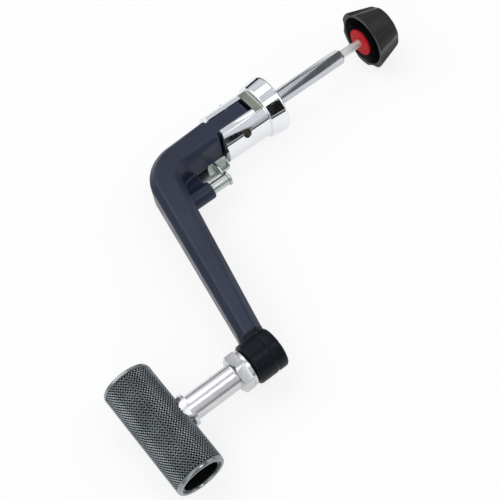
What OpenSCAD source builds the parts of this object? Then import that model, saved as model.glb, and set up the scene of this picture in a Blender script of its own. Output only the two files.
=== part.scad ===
// Folding crank handle for a spinning reel.
// +X runs along the drive shaft towards the screw cap, the crank arm goes to -Y,
// and +Z is square to the flat face of the arm. The origin is on the shaft's axis,
// at the front face of the yoke's bell, where the handle seats against the reel.

/* [Quality] */
// Facets round a full circle
circle_fn = 96; // [48:16:160]

/* [Drive shaft] */
// Hexagon size across its flats
hex_flats = 5.0; // [4:0.1:6]
// Length of the hexagon in front of the bell
hex_len = 31; // [24:1:40]
// Diameter of the threaded stub
stub_d = 3.0; // [2:0.1:4]

/* [Yoke] */
// Diameter of the bell at its front face
bell_d = 21.5; // [18:0.5:26]
// Diameter of the bell at its rear face
bell_rear_d = 20.2; // [16:0.2:24]
// Length of the bell along the shaft
bell_len = 7.3; // [5:0.1:10]
// Diameter of the clevis barrel behind the bell
barrel_d = 18; // [15:0.2:20]
// Length of the whole yoke
yoke_len = 25.5; // [22:0.5:30]
// How far the barrel's flat is cut below its top
flat_cut = 1.4; // [0.8:0.1:2.4]
// Width of the slot between the ears
slot_w = 6.4; // [5:0.1:8]
// Distance from the front face to the slot's closed end
slot_start = 10.4; // [9:0.1:13]
// Depth of the slot's floor below the axis
slot_floor = 6.0; // [5:0.1:7]

/* [Fold hinge] */
// Diameter of the hinge pin
pin_d = 3.0; // [2:0.1:4]
// Distance of the hinge pin behind the front face
pin_back = 16.7; // [15:0.1:19]
// Height of the hinge pin above the axis
pin_height = 3.7; // [2.5:0.1:4.5]
// How far each end of the pin sits inside its ear
pin_recess = 0.7; // [0.3:0.1:1.5]

/* [Crank arm] */
// Distance between the shaft's axis and the knob's axis
crank_radius = 78; // [60:0.2:100]
// Thickness of the short limb, across the crank plane
limb_w = 10; // [8:0.1:11]
// How far the arm's top face lies below the yoke's flat
top_step = 0.2; // [0.1:0.1:1.6]
// Underside of the arm below the axis
arm_under = 5.2; // [4:0.1:6]
// Bevel along the arm's edges
arm_bevel = 2.2; // [0.6:0.1:2.6]
// Distance of the elbow's centre behind the front face
elbow_back = 40.7; // [38:0.1:46]
// Outer radius of the elbow
elbow_r = 16; // [14:0.2:20]
// Inner radius of the elbow
elbow_inner_r = 5; // [4:0.2:8]
// Lean of the long limb away from the reel, in degrees
arm_lean = 12; // [6:0.5:18]
// Width of the long limb where it meets the boss
arm_tip_w = 7.8; // [6:0.1:10]
// Diameter of the boss that carries the knob
boss_d = 14; // [13:0.1:17]
// Length of the boss
boss_len = 11; // [9:0.5:14]

/* [Lock] */
// Travel of the lock slide
lock_travel = 4.0; // [2:0.1:5]
// Thickness of the stamped lock plate
plate_t = 0.9; // [0.6:0.1:1.2]
// Diameter of the lock's guide rod
rod_d = 4.1; // [3:0.1:5]
// Distance of the rod from the shaft's axis, towards the knob
rod_out = 14; // [13:0.1:16]
// Depth of the rod's axis below the shaft's axis
rod_drop = 3.0; // [2:0.1:3.5]
// Number of turns of the lock spring
spring_turns = 7; // [4:1:9]

/* [Knob] */
// Diameter of the spindle
spindle_d = 4.0; // [3:0.1:5]
// Diameter of the neck between the boss and the grip
neck_d = 8.5; // [7:0.1:10]
// Size of the neck's hexagon across its flats
collar_flats = 11.4; // [10:0.1:13]
// Distance between the boss and the grip's axis
neck_len = 32.3; // [26:0.1:38]
// Diameter of the grip
grip_d = 17; // [14:0.2:22]
// Length of the grip
grip_len = 39; // [34:0.5:55]
// Wall thickness of the grip's tube
grip_wall = 1.5; // [1:0.1:2.2]
// How far the knob has spun from the crank plane, in degrees
knob_turn = 8; // [-90:1:90]

/* [Screw cap] */
// Diameter of the cap at its rim
cap_d = 22.8; // [20:0.2:28]
// Diameter of the cap at its closed end
cap_end_d = 17.4; // [14:0.2:22]
// Depth of the cap
cap_len = 10.6; // [8:0.2:14]
// Distance from the hexagon's end to the cap's rim
cap_gap = 10.4; // [6:0.2:16]
// Depth of a flute in the cap's side
flute_depth = 0.8; // [0.4:0.1:1.2]
// Radius of a flute's hollow
flute_r = 9; // [4:0.5:14]
// Number of flutes round the cap
flutes = 6; // [5:1:12]
// Diameter of the collar in the cap
washer_d = 10.3; // [8:0.1:12]

/* [Fits] */
// Radial clearance of a running fit
run_gap = 0.05; // [0.02:0.01:0.1]
// Clearance between faces that slide past each other
slide_gap = 0.2; // [0.1:0.05:0.4]

/* [Hidden] */
$fn = circle_fn;

chrome = [0.82, 0.83, 0.85];
slate = [0.16, 0.18, 0.24];
steel = [0.45, 0.46, 0.47];
zinc = [0.66, 0.68, 0.66];
satin = [0.78, 0.78, 0.79];
gun = [0.26, 0.28, 0.29];
black = [0.05, 0.05, 0.06];
red = [0.78, 0.05, 0.08];
brass = [0.72, 0.58, 0.32];

hex_r = hex_flats / 2 / cos(30);
journal_r = hex_r;
journal_len = slot_start - 1;
barrel_r = barrel_d / 2;
flat_height = barrel_r - flat_cut;
arm_top = flat_height - top_step;
stub_r = stub_d / 2;
pin_r = pin_d / 2;
pin_x = -pin_back;
// Where the ear's round side meets the pin's axis
ear_y = sqrt(pow(barrel_r, 2) - pow(pin_height, 2));
pin_half = ear_y - pin_recess;
bush_r = pin_r + 0.9;
shim_t = 0.15;
tongue_w = slot_w - 2 * (shim_t + run_gap);
// The tongue turns about the pin, so each stretch of its edge has a swept radius
nose_r = pin_back - slot_start - 0.4;
heel_r = min(pin_height + slot_floor - 0.4, pin_height + arm_under);
// The ears end in an arc about the pin above it
ear_end_r = yoke_len - pin_back;
shoulder_x = -(yoke_len + 0.5);
// The limbs lap into the elbow a little, and stand a hair inside its faces
lap = 0.6;
step = 0.04;

elbow_c = [-elbow_back, limb_w / 2 - elbow_r];
elbow_turn = 90 - arm_lean;
elbow_w = elbow_r - elbow_inner_r;
elbow_mid = (elbow_r + elbow_inner_r) / 2;
lean_dir = [-sin(arm_lean), -cos(arm_lean)];
long_start = elbow_c + elbow_mid * [-cos(arm_lean), sin(arm_lean)];
long_len = (crank_radius + long_start[1]) / cos(arm_lean);
boss_x = long_start[0] + long_len * lean_dir[0];
boss_left = boss_x - boss_len / 2;
boss_right = boss_x + boss_len / 2;
knob_y = -crank_radius;

rod_r = rod_d / 2;
rod_y = -rod_out;
rod_z = -rod_drop;
housing_r = rod_r + 1.1;
housing_x = -38;
corner_len = 9.4;
tab_x = -30.5;
plate_top = -(arm_under + slide_gap);
plate_tip = -(yoke_len + 0.3);
plate_tail = -38.3;
plate_y = -9;
rod_back = -43;
spring_back = -52;
wire_r = 0.22;
coil_r = rod_r - 0.35;

spindle_r = spindle_d / 2;
shank_r = spindle_r + 0.5;
thrust_t = 0.5;
neck_r = neck_d / 2;
neck_x = boss_left - thrust_t - run_gap;
neck_bush_r = spindle_r + 1.0;
grip_x = boss_left - neck_len;
grip_r = grip_d / 2;
grip_bore = grip_r - grip_wall;
core_half = 8;
neck_tail = grip_x + grip_bore - 2.2;
spindle_end = neck_tail - 0.2;

cap_rim = hex_len + cap_gap;
cap_r = cap_d / 2;
cap_end_r = cap_end_d / 2;
cap_wall = 1.7;
washer_t = 2.5;
washer_face = cap_rim - 1.3;
post_x = washer_face + washer_t + run_gap;
insert_r = stub_r + 1.2;
cap_floor = cap_rim + cap_len - 2.0;
stub_end = cap_floor - 1.5;

// Points along an arc from angle a to angle b
function arc(c, r, a, b, n = 8) = [for (i = [0:n]) c + r * [cos(a + (b - a) * i / n), sin(a + (b - a) * i / n)]];

// Turns a child drawn round Z so that its axis lies along +X
module along_x(x = 0) {
    translate([x, 0, 0])
        rotate([0, 90, 0])
            children();
}

// A round bar along X from x0 to x1
module bar_x(r, x0, x1) {
    along_x(x0)
        cylinder(r = r, h = x1 - x0);
}

// A round bar along Y, centred on y = 0
module bar_y(r, half) {
    rotate([90, 0, 0])
        cylinder(r = r, h = 2 * half, center = true);
}

// What spins with the knob, drawn about the knob's axis
module on_knob() {
    translate([0, knob_y, 0])
        rotate([knob_turn, 0, 0])
            children();
}

// A washer or bush along X
module ring_x(r_out, r_in, x0, x1) {
    difference() {
        bar_x(r_out, x0, x1);
        bar_x(r_in, x0 - 1, x1 + 1);
    }
}

// A bevelled rectangular section: width across, bottom and top, and the bevel
function bevelled(w0, w1, low, high, c) = [[w0 + c, low], [w1 - c, low], [w1, low + c], [w1, high - c],
                                          [w1 - c, high], [w0 + c, high], [w0, high - c], [w0, low + c]];

// A thin upright slice of the arm at a point of the crank plane, square to a heading in degrees
module arm_slice(at, heading, half, low, high, c) {
    translate([at[0], at[1], 0])
        rotate([0, 0, heading])
            rotate([90, 0, 90])
                linear_extrude(height = 0.02, center = true)
                    polygon(bevelled(-half, half, low, high, c));
}

module yoke() {
    color(chrome)
        difference() {
            union() {
                along_x()
                    rotate_extrude()
                        polygon(concat([[0, 0]],
                                       arc([bell_d / 2 - 1.3, -1.3], 1.3, 90, 5),
                                       arc([bell_rear_d / 2 - 0.6, -bell_len + 0.6], 0.6, -5, -90),
                                       [[0, -bell_len]]));
                difference() {
                    union() {
                        bar_x(barrel_r, pin_x, -bell_len + 0.5);
                        // Below the pin the barrel runs on square to its end
                        intersection() {
                            bar_x(barrel_r, -yoke_len, pin_x + 0.01);
                            translate([-yoke_len - 1, -barrel_d, -barrel_d])
                                cube([yoke_len, 2 * barrel_d, barrel_d + pin_height]);
                        }
                        // Above the pin the ears end in an arc about it
                        intersection() {
                            bar_x(barrel_r, -yoke_len, pin_x + 0.01);
                            translate([pin_x, 0, pin_height])
                                bar_y(ear_end_r, barrel_d);
                        }
                    }
                    translate([-yoke_len - 1, -barrel_d, flat_height])
                        cube([yoke_len - bell_len + 1, 2 * barrel_d, barrel_d]);
                }
            }
            // Slot for the arm's tongue
            translate([-yoke_len - 1, -slot_w / 2, -slot_floor])
                cube([yoke_len + 1 - slot_start, slot_w, slot_floor + barrel_d]);
            // Hinge pin's holes
            translate([pin_x, 0, pin_height])
                bar_y(pin_r, barrel_d);
            // Socket for the shaft's journal
            bar_x(journal_r, -journal_len, 1);
            // Grub screw's hole, from below
            translate([-bell_len / 2, 0, -bell_d])
                cylinder(r = stub_r, h = bell_d);
        }
}

module drive_shaft() {
    color(chrome)
        union() {
            bar_x(journal_r, -journal_len, 0);
            intersection() {
                along_x(-0.01)
                    cylinder(r = hex_r, h = hex_len + 0.01, $fn = 6);
                // Bevelled corners at the hexagon's end
                along_x(-0.01)
                    cylinder(r1 = hex_r + hex_len * 0.8, r2 = hex_r - 0.45, h = hex_len + 0.01);
            }
            bar_x(stub_r - 0.25, hex_len - 0.5, hex_len + 0.8);
            bar_x(stub_r, hex_len + 0.79, stub_end - 0.5);
            along_x(stub_end - 0.51)
                cylinder(r1 = stub_r, r2 = stub_r - 0.45, h = 0.51);
        }
}

module grub_screw() {
    color(steel)
        translate([-bell_len / 2, 0, -bell_d / 2 + 1])
            difference() {
                cylinder(r = stub_r, h = bell_d / 2 - 1 - journal_r);
                translate([0, 0, -1])
                    cylinder(r = stub_r * 0.55, h = 2.6, $fn = 6);
            }
}

module hinge_pin() {
    color(steel)
        translate([pin_x, 0, pin_height])
            bar_y(pin_r, pin_half);
}

// The tongue's side profile, drawn with the pin at its centre, then stood between the ears
module tongue() {
    translate([pin_x, 0, pin_height])
        rotate([90, 0, 0])
            linear_extrude(height = tongue_w, center = true)
                union() {
                    intersection() {
                        circle(r = nose_r);
                        translate([-nose_r, -nose_r])
                            square([2 * nose_r, nose_r + arm_top - 2 * step - pin_height]);
                    }
                    intersection() {
                        circle(r = heel_r);
                        translate([-0.01, -heel_r])
                            square([nose_r, heel_r]);
                    }
                    translate([shoulder_x - pin_x - 1, 2 * step - (pin_height + arm_under)])
                        square([pin_x - shoulder_x + 1, arm_top + arm_under - 4 * step]);
                }
}

module arm() {
    color(slate)
        difference() {
            union() {
                tongue();
                // Short limb, from the shoulder to the elbow
                hull() {
                    arm_slice([shoulder_x - 0.01, 0], 0, limb_w / 2, -arm_under + step, arm_top - step,
                              arm_bevel * 0.5);
                    arm_slice([-elbow_back - lap, (limb_w - elbow_w) / 2], 0, elbow_w / 2 - step,
                              -arm_under + step, arm_top - step, arm_bevel);
                }
                // Elbow
                translate([elbow_c[0], elbow_c[1], 0])
                    rotate([0, 0, 90])
                        rotate_extrude(angle = elbow_turn)
                            polygon(bevelled(elbow_inner_r, elbow_r, -arm_under, arm_top, arm_bevel));
                // Long limb, tapering to the boss
                hull() {
                    arm_slice(long_start - lap * lean_dir, 90 - arm_lean, elbow_w / 2 - step,
                              -arm_under + step, arm_top - step, arm_bevel);
                    arm_slice(long_start + long_len * lean_dir, 90 - arm_lean, arm_tip_w / 2,
                              -arm_under + step, arm_under, arm_bevel);
                }
                // Web that flares into the boss
                hull() {
                    arm_slice(long_start + (long_len - 15) * lean_dir, 90 - arm_lean, arm_tip_w / 2 - 0.2,
                              -arm_under + 0.3, arm_under - 0.3, arm_bevel);
                    arm_slice([boss_x, knob_y + 1], 90, boss_len / 2 - 0.6, -arm_under + 0.1,
                              arm_under - 0.1, arm_bevel);
                }
                // Boss for the knob's spindle
                translate([boss_left, knob_y, 0])
                    along_x()
                        rotate_extrude()
                            polygon([[0, 0], [boss_d / 2 - 0.6, 0], [boss_d / 2, 0.6],
                                     [boss_d / 2, boss_len - 0.6], [boss_d / 2 - 0.6, boss_len],
                                     [0, boss_len]]);
                // Spring housing on the inside of the elbow
                translate([0, rod_y, rod_z])
                    bar_x(housing_r, -50, housing_x);
                // Floor that ties the housing to the elbow's inner corner
                translate([housing_x - corner_len - 0.6, rod_y, -arm_under + 0.2])
                    cube([corner_len, rod_out - limb_w / 2 + 0.5, arm_under + rod_z + 1]);
            }
            // Bush's seat in the tongue
            translate([pin_x, 0, pin_height])
                bar_y(bush_r, slot_w);
            // Spindle's bore in the boss
            translate([0, knob_y, 0])
                bar_x(shank_r, boss_left - 1, boss_right + 1);
            // Guide bore for the rod and spring
            translate([0, rod_y, rod_z])
                bar_x(rod_r + run_gap, spring_back, housing_x + 1);
            // Tapped hole for the lock screw
            translate([-32.2, 0, -arm_under - 1])
                cylinder(r = 1.0, h = 6);
        }
}

module hinge_bush() {
    color(brass)
        translate([pin_x, 0, pin_height])
            difference() {
                bar_y(bush_r, tongue_w / 2);
                bar_y(pin_r + run_gap, tongue_w);
            }
}

module shim(side) {
    color(steel)
        translate([pin_x, side * (tongue_w + shim_t) / 2, pin_height])
            difference() {
                bar_y(bush_r + 0.9, shim_t / 2);
                bar_y(pin_r + run_gap, 2);
            }
}

module shim_reel_side() {
    shim(1);
}

module shim_knob_side() {
    shim(-1);
}

module lock_screw() {
    color(steel)
        translate([-32.2, 0, plate_top - plate_t - 0.1])
            difference() {
                union() {
                    cylinder(r = 1.0, h = plate_t + 5);
                    cylinder(r = 1.3, h = plate_t + slide_gap + 0.1);
                    translate([0, 0, -1.0])
                        cylinder(r = 2.3, h = 1.0);
                }
                translate([-3, -0.3, -1.5])
                    cube([6, 0.6, 1.0]);
            }
}

module lock_plate() {
    color(zinc)
        difference() {
            union() {
                // Flat plate under the short limb
                translate([plate_tail, plate_y, plate_top - plate_t])
                    cube([plate_tip - plate_tail, 3 - plate_y, plate_t]);
                // Thumb tab, bent square to the shaft
                translate([tab_x - plate_t, 0, 0])
                    rotate([90, 0, 90])
                        linear_extrude(height = plate_t)
                            union() {
                                translate([rod_y, rod_z])
                                    circle(r = 2.7);
                                translate([rod_y, rod_z - 2.7])
                                    square([plate_y - rod_y + 2.5, 5.4]);
                                translate([plate_y, plate_top - plate_t])
                                    square([2.5, plate_t + 1]);
                            }
            }
            // Slot that the lock screw runs in
            translate([-32.2 - 1.45, -1.45, plate_top - 5])
                cube([2.9 + lock_travel, 2.9, 10]);
            // Hole for the rod's riveted end
            translate([0, rod_y, rod_z])
                bar_x(1.1, tab_x - 3, tab_x + 3);
        }
}

module lock_rod() {
    color(steel)
        translate([0, rod_y, rod_z])
            union() {
                bar_x(rod_r, rod_back, tab_x - plate_t);
                bar_x(1.1, tab_x - plate_t - 0.01, tab_x + 0.01);
                along_x(tab_x)
                    cylinder(r1 = 1.7, r2 = 1.2, h = 0.6);
            }
}

// One ring of points round the spring's wire, at t of the way along it
function coil_ring(t) = let (a = 360 * spring_turns * t,
                            x = rod_back - wire_r - (rod_back - spring_back - 2 * wire_r) * t)
    [for (k = [0:5]) let (b = 60 * k)
        [x + wire_r * sin(b), rod_y + (coil_r + wire_r * cos(b)) * cos(a),
         rod_z + (coil_r + wire_r * cos(b)) * sin(a)]];

module lock_spring() {
    steps = 18 * spring_turns;
    points = [for (i = [0:steps]) each coil_ring(i / steps)];
    sides = [for (i = [0:steps - 1]) for (k = [0:5])
        each [[6 * i + k, 6 * i + (k + 1) % 6, 6 * (i + 1) + (k + 1) % 6],
              [6 * i + k, 6 * (i + 1) + (k + 1) % 6, 6 * (i + 1) + k]]];
    caps = [[for (k = [5:-1:0]) k], [for (k = [0:5]) 6 * steps + k]];
    color(steel)
        polyhedron(points = points, faces = concat(sides, caps), convexity = 10);
}

module spindle() {
    color(steel)
        translate([0, knob_y, 0])
            difference() {
                union() {
                    bar_x(shank_r, boss_left, boss_right + 0.5);
                    bar_x(spindle_r, spindle_end, boss_left + 0.01);
                }
                // Tapped end for the retaining screw
                bar_x(1.0, spindle_end - 1, spindle_end + 6);
            }
}

module spindle_collar() {
    color(steel)
        translate([0, knob_y, 0])
            ring_x(4.4, shank_r, boss_right, boss_right + 0.5);
}

module thrust_washer() {
    color(black)
        translate([0, knob_y, 0])
            ring_x(5.6, spindle_r, boss_left - thrust_t, boss_left);
}

module end_washer() {
    color(steel)
        translate([0, knob_y, 0])
            ring_x(neck_bush_r + 0.3, 1.0, spindle_end - 0.5, spindle_end);
}

module end_screw() {
    color(steel)
        translate([0, knob_y, 0])
            difference() {
                union() {
                    bar_x(1.0, spindle_end - 0.51, spindle_end + 5.5);
                    bar_x(2.0, spindle_end - 1.9, spindle_end - 0.5);
                }
                translate([spindle_end - 2.5, -0.3, -3])
                    cube([1.2, 0.6, 6]);
            }
}

module neck_sleeve() {
    color(satin)
        on_knob()
            difference() {
                union() {
                    // Thin ring against the boss
                    bar_x(6.2, neck_x - 1.0, neck_x);
                    // Hexagon with bevelled corners
                    intersection() {
                        along_x(neck_x - 4.8)
                            cylinder(r = collar_flats / 2 / cos(30), h = 3.9, $fn = 6);
                        along_x(neck_x - 4.8)
                            cylinder(r1 = collar_flats / 2 - 0.2, r2 = collar_flats / 2 + 5, h = 3.9);
                    }
                    bar_x(neck_r, neck_tail, neck_x - 0.5);
                    // Ring that seats on the grip
                    along_x(grip_x + grip_r - 0.9)
                        cylinder(r1 = neck_r + 0.6, r2 = neck_r + 1.2, h = 1.4);
                    bar_x(neck_r + 1.2, grip_x + grip_r + 0.49, grip_x + grip_r + 1.6);
                }
                bar_x(neck_bush_r, neck_tail - 1, neck_x + 1);
            }
}

module bush_inner() {
    color(brass)
        on_knob()
            ring_x(neck_bush_r, spindle_r + run_gap, neck_x - 6, neck_x);
}

module bush_outer() {
    color(brass)
        on_knob()
            ring_x(neck_bush_r, spindle_r + run_gap, neck_tail, neck_tail + 6);
}

module grip_core() {
    color(black)
        on_knob()
            difference() {
                translate([grip_x, 0, 0])
                    bar_y(grip_bore, core_half);
                // Socket for the neck's tail
                bar_x(neck_r, neck_tail, grip_x + grip_r);
                // Pocket for the retaining screw
                bar_x(neck_bush_r + 0.6, grip_x - 3.5, neck_tail + 0.01);
            }
}

module grip_tube() {
    color(gun)
        on_knob()
            translate([grip_x, 0, 0])
                difference() {
                    rotate([90, 0, 0])
                        translate([0, 0, -grip_len / 2])
                            rotate_extrude()
                                polygon([[grip_bore, 0], [grip_r - 0.7, 0], [grip_r - 0.2, 0.4],
                                         [grip_r - 0.2, 1.5], [grip_r, 1.7],
                                         [grip_r, grip_len - 1.7], [grip_r - 0.2, grip_len - 1.5],
                                         [grip_r - 0.2, grip_len - 0.4], [grip_r - 0.7, grip_len],
                                         [grip_bore, grip_len]]);
                    bar_x(neck_r, 0, grip_r + 1);
                    // Seat for the neck's ring, cut in the tube's round side
                    along_x(grip_r - 0.9)
                        cylinder(r1 = neck_r + 0.6, r2 = neck_r + 2.0, h = 3);
                }
}

// A thin liner in one open end of the grip
module grip_liner(side) {
    color(black)
        on_knob()
            translate([grip_x, side * (grip_len / 2 + core_half - 0.6) / 2, 0])
                difference() {
                    bar_y(grip_bore, (grip_len / 2 - core_half - 0.6) / 2);
                    bar_y(grip_bore - 0.8, grip_len);
                }
}

module grip_liner_left() {
    grip_liner(1);
}

module grip_liner_right() {
    grip_liner(-1);
}

module cap_collar() {
    color(red)
        difference() {
            bar_x(washer_d / 2, washer_face, washer_face + washer_t);
            bar_x(stub_r + run_gap, washer_face - 1, post_x + 1);
        }
}

module cap_shell() {
    taper = atan((cap_r - cap_end_r) / cap_len);
    color(black)
        difference() {
            along_x(cap_rim)
                rotate_extrude()
                    polygon(concat([[0, 0], [cap_r - 0.3, 0], [cap_r, 0.3]],
                                   arc([cap_end_r - 1.5, cap_len - 1.5], 1.5, 12, 90),
                                   [[0, cap_len]]));
            // Recess round the post
            along_x(cap_rim)
                rotate_extrude()
                    polygon([[washer_d / 2 + 0.1, -1], [cap_r - cap_wall + 0.15, -1],
                             [cap_end_r - cap_wall - 0.1, cap_floor - cap_rim],
                             [washer_d / 2 - 0.6, cap_floor - cap_rim],
                             [washer_d / 2 - 0.6, post_x - cap_rim], [washer_d / 2 + 0.1, post_x - cap_rim]]);
            // Seat for the collar
            bar_x(washer_d / 2 + 0.15, cap_rim - 1, post_x);
            // Flutes
            for (i = [0:flutes - 1])
                rotate([360 * (i + 0.5) / flutes, 0, 0])
                    translate([cap_rim - 1, 0, cap_r + flute_r - flute_depth + tan(taper)])
                        rotate([0, 90 + taper, 0])
                            cylinder(r = flute_r, h = cap_len + 4);
            // Seat for the threaded insert
            bar_x(insert_r, post_x - 1, cap_floor);
        }
}

module cap_insert() {
    color(brass)
        difference() {
            bar_x(insert_r, post_x, cap_floor);
            bar_x(stub_r + run_gap, post_x - 1, cap_floor - 0.6);
        }
}

yoke();
drive_shaft();
grub_screw();
hinge_pin();
arm();
hinge_bush();
shim_reel_side();
shim_knob_side();
lock_screw();
lock_plate();
lock_rod();
lock_spring();
spindle();
spindle_collar();
thrust_washer();
end_washer();
end_screw();
neck_sleeve();
bush_inner();
bush_outer();
grip_core();
grip_tube();
grip_liner_left();
grip_liner_right();
cap_collar();
cap_shell();
cap_insert();
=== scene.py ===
"""Looks for a folding crank handle: chromed yoke, painted arm, lock slide, spinning cross grip and screw cap.

Every length is in metres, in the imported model's own frame: +X runs along the drive shaft towards the cap, the
arm goes to -Y and +Z is square to the arm's flat face.
"""
import logging
import math
from dataclasses import dataclass
from enum import Enum
from typing import Optional, Sequence

import bmesh
import bpy
from bpy.types import Material, Mesh, Node, NodeSocket, NodeTree, Object
from mathutils import Matrix, Vector


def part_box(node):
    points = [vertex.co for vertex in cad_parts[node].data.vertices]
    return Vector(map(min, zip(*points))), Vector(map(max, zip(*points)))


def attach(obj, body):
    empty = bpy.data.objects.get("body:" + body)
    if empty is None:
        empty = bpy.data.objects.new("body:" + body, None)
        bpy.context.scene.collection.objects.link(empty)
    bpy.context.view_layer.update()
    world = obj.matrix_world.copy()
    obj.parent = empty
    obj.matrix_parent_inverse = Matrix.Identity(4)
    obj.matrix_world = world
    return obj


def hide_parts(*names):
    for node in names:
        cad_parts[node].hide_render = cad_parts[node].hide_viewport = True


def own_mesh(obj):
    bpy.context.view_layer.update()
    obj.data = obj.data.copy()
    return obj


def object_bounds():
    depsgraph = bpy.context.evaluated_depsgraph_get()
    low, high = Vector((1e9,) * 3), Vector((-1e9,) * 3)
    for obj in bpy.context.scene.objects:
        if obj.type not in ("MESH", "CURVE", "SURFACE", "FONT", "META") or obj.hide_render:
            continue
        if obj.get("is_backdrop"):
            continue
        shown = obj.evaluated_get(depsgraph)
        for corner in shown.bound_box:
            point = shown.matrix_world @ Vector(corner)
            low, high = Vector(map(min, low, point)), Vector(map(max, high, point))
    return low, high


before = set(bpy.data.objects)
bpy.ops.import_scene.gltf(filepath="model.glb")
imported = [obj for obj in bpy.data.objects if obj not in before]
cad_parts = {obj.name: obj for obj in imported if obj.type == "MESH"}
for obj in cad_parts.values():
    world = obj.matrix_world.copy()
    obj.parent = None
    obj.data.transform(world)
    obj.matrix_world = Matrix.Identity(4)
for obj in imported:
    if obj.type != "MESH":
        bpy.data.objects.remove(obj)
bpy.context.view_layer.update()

MM = 0.001
MERGE = 0.002 * MM
LOG = logging.getLogger("crank_handle")

Colour = tuple[float, float, float]
Point = tuple[float, float, float]
Pair = tuple[float, float]


# -------- node building


class Graph:
    """A thin wrapper that makes and joins the nodes of one tree."""

    def __init__(self, tree: NodeTree) -> None:
        """Keeps the shader or geometry tree to build in."""
        self.tree = tree

    def feed(self, node: Node, inputs: dict[object, object]) -> None:
        """Links or sets a node's inputs.

        Args:
            node: the node.
            inputs: socket name or index to a value, or to a socket that feeds it.
        """
        for key, value in inputs.items():
            if isinstance(value, NodeSocket):
                self.tree.links.new(value, node.inputs[key])
            else:
                node.inputs[key].default_value = value

    def add(self, kind: str, inputs: Optional[dict[object, object]] = None, **settings: object) -> Node:
        """Makes a node.

        Args:
            kind: Blender's type name for the node.
            inputs: socket name or index to a value, or to a socket that feeds it.
            settings: attributes of the node itself.

        Returns:
            The new node.
        """
        node = self.tree.nodes.new(kind)
        for key, value in settings.items():
            setattr(node, key, value)
        self.feed(node, inputs or {})
        return node

    def math(self, operation: str, *values: object, clamp: bool = False) -> NodeSocket:
        """Adds a Math node on numbers or sockets, for shader and geometry trees alike."""
        node = self.add("ShaderNodeMath", dict(enumerate(values)), operation=operation, use_clamp=clamp)
        return node.outputs[0]

    def blend(self, mask: NodeSocket, first: object, second: object) -> NodeSocket:
        """Gives the first number where the mask is 0 and the second where it is 1."""
        return self.math("ADD", first, self.math("MULTIPLY", mask, self.math("SUBTRACT", second, first)))

    def mix(self, factor: object, *colours: object) -> NodeSocket:
        """Mixes two colours, each a colour or a socket, by a number or socket."""
        first, second = (c if isinstance(c, NodeSocket) else (*c, 1.0) for c in colours)
        return self.add("ShaderNodeMix", {0: factor, 6: first, 7: second}, data_type="RGBA").outputs[2]

    def ramp(self, factor: NodeSocket, stops: Sequence[tuple[float, Colour]]) -> NodeSocket:
        """Adds a Color Ramp.

        Args:
            factor: the socket that drives it.
            stops: places from 0 to 1 with their colours.

        Returns:
            The colour socket.
        """
        node = self.add("ShaderNodeValToRGB", {"Fac": factor})
        while len(node.color_ramp.elements) < len(stops):
            node.color_ramp.elements.new(0.5)
        for element, (place, colour) in zip(node.color_ramp.elements, stops):
            element.position = place
            element.color = (*colour, 1.0)
        return node.outputs["Color"]


def emptied(owner: object) -> Graph:
    """Empties the node tree of a material or a world.

    Args:
        owner: the material or the world.

    Returns:
        A graph to build in its tree.
    """
    owner.use_nodes = True
    owner.node_tree.nodes.clear()
    return Graph(owner.node_tree)


class Effect(Graph):
    """A shader group with number sockets, built over the piece's own place."""

    def __init__(self, name: str, inputs: dict[str, float], *outputs: str) -> None:
        """Starts the group.

        Args:
            name: the group's name.
            inputs: the names of what goes in, with defaults.
            outputs: the names of what comes out.
        """
        super().__init__(bpy.data.node_groups.new(name, "ShaderNodeTree"))
        new_socket = self.tree.interface.new_socket
        for label, default in inputs.items():
            new_socket(name=label, in_out="INPUT", socket_type="NodeSocketFloat").default_value = default
        for label in outputs:
            new_socket(name=label, in_out="OUTPUT", socket_type="NodeSocketFloat")
        self.given = self.add("NodeGroupInput").outputs
        self.sink = self.add("NodeGroupOutput")
        self.place = self.add("ShaderNodeTexCoord").outputs["Object"]

    def noise(self, place: NodeSocket, **inputs: object) -> NodeSocket:
        """Adds a noise texture and gives the socket of its value."""
        return self.add("ShaderNodeTexNoise", {"Vector": place, **inputs}).outputs["Fac"]

    def ended(self, **results: NodeSocket) -> NodeTree:
        """Feeds the group's outputs and gives its tree."""
        self.feed(self.sink, results)
        return self.tree


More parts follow.
